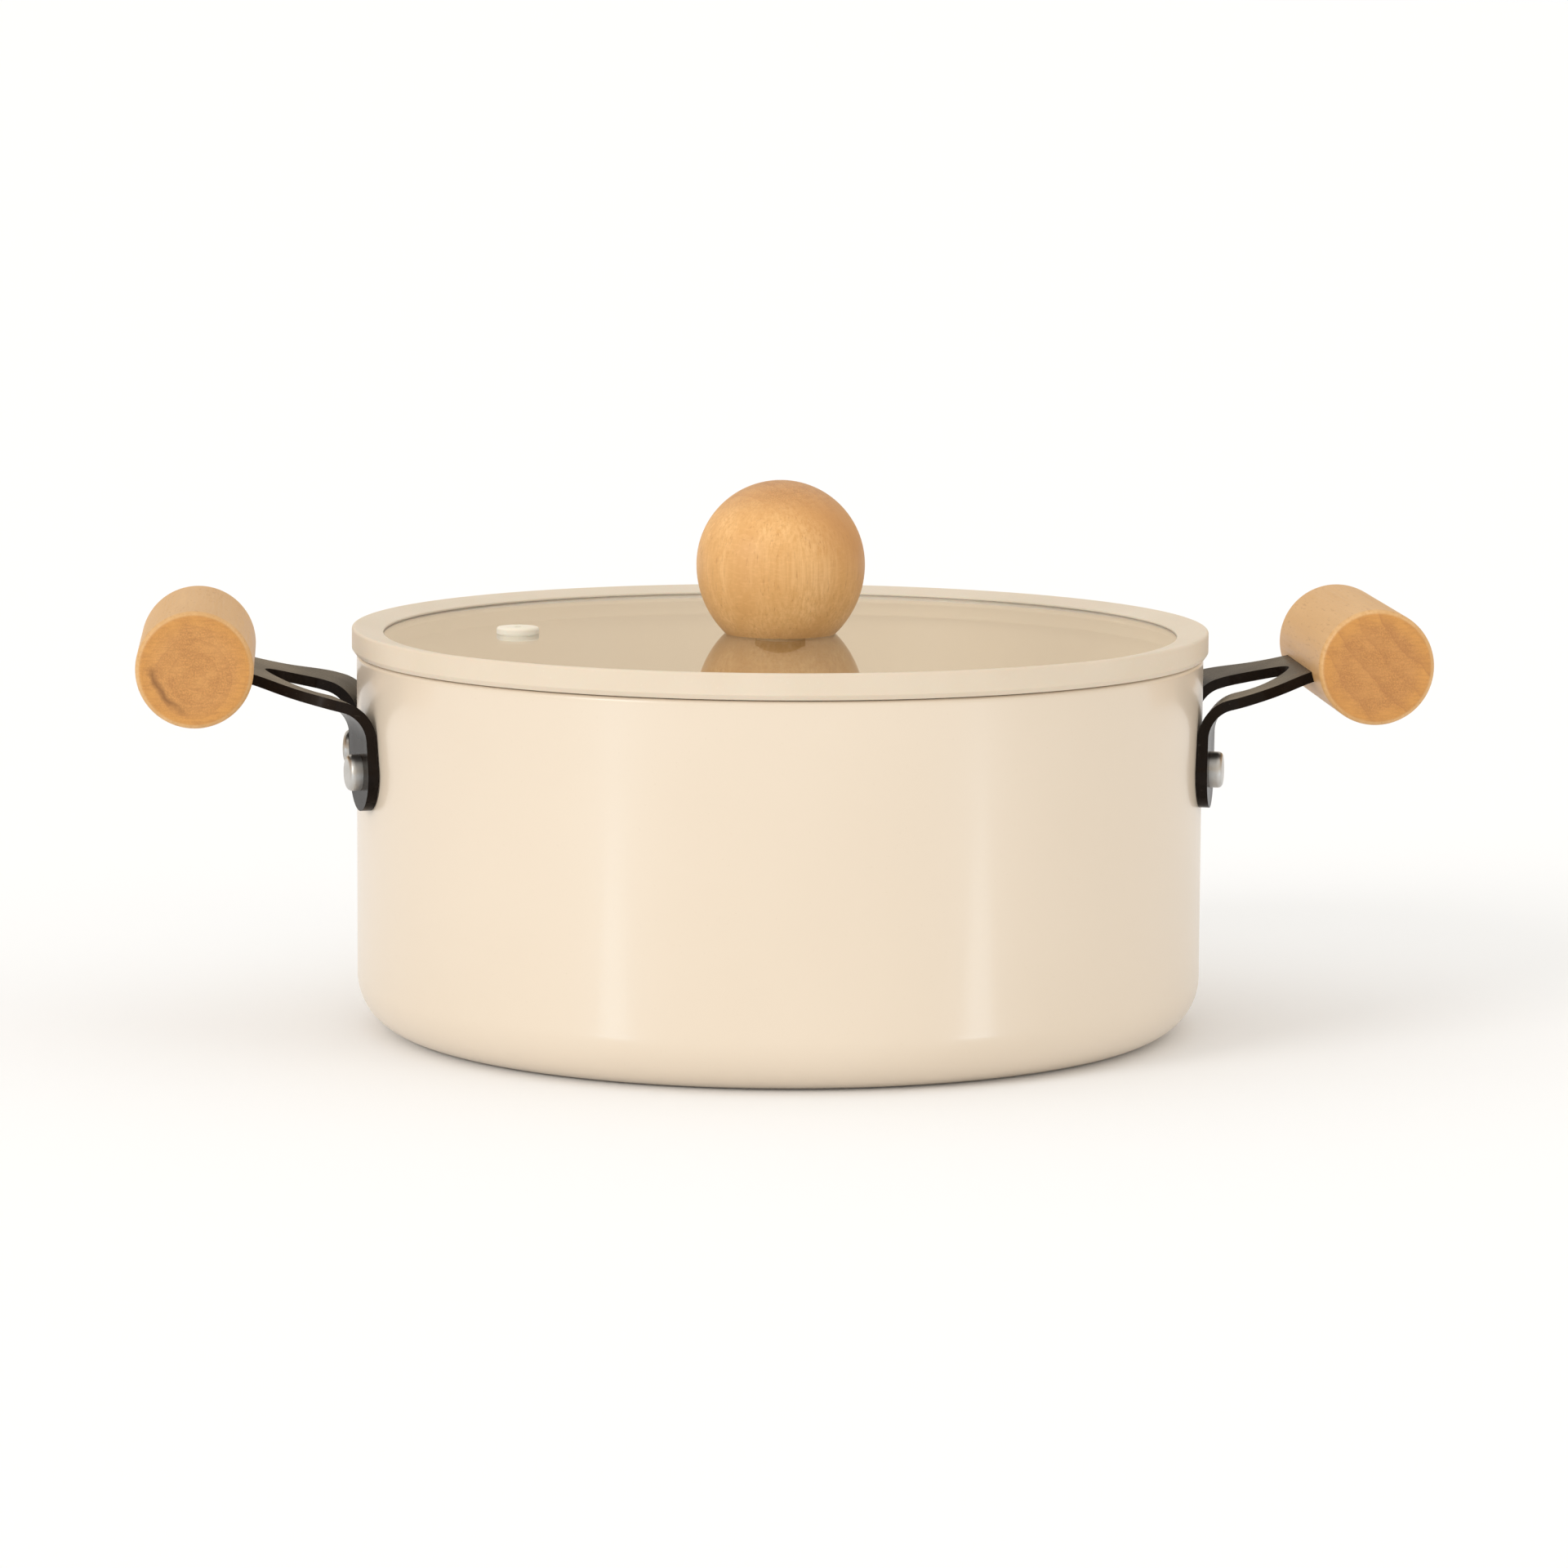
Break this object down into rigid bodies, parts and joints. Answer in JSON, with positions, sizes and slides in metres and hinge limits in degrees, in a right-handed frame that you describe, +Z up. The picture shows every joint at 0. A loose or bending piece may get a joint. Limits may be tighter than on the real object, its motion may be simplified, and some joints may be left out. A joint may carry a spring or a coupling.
{
  "type": "saucepan",
  "caption": "Low two-handled saucepan with forked steel brackets, round wooden cross-bar grips, a flat glass lid in a soft rim and a wooden ball knob.",
  "frame": {"origin": "middle of the underside, on the pan's axis", "axes": "+X along the handles, through the right grip; +Y to the back; +Z up, through the knob"},
  "size_m": [0.3704, 0.2478, 0.159],
  "materials": {
    "coating": "glossy cream ceramic coating on aluminium",
    "base_steel": "turned",
    "black_steel": "satin black",
    "rivet": "satin",
    "beech": "lightly oiled beech",
    "screw_steel": "zinc plated",
    "clear_glass": "clear, toughened",
    "silicone": "matte cream silicone",
    "vent_silicone": "matte ivory silicone",
    "brass": "plain"
  },
  "bodies": {
    "pot": {"pot_shell": "coating", "induction_plate": "base_steel", "left_bracket": "black_steel", "right_bracket": "black_steel", "left_near_rivet": "rivet", "left_far_rivet": "rivet", "right_near_rivet": "rivet", "right_far_rivet": "rivet", "left_grip": "beech", "right_grip": "beech", "left_near_screw": "screw_steel", "left_far_screw": "screw_steel", "right_near_screw": "screw_steel", "right_far_screw": "screw_steel"},
    "lid": {"lid_glass": "clear_glass", "lid_rim": "silicone", "steam_vent": "vent_silicone", "knob": "beech", "knob_insert": "brass", "knob_bush": "vent_silicone", "knob_washer": "screw_steel", "knob_screw": "screw_steel"}
  },
  "joints": [
    {"name": "lid_lift", "type": "slide", "parent": "pot", "child": "lid", "axis": [0, 0, 1], "range_m": [0, 0.12]}
  ]
}
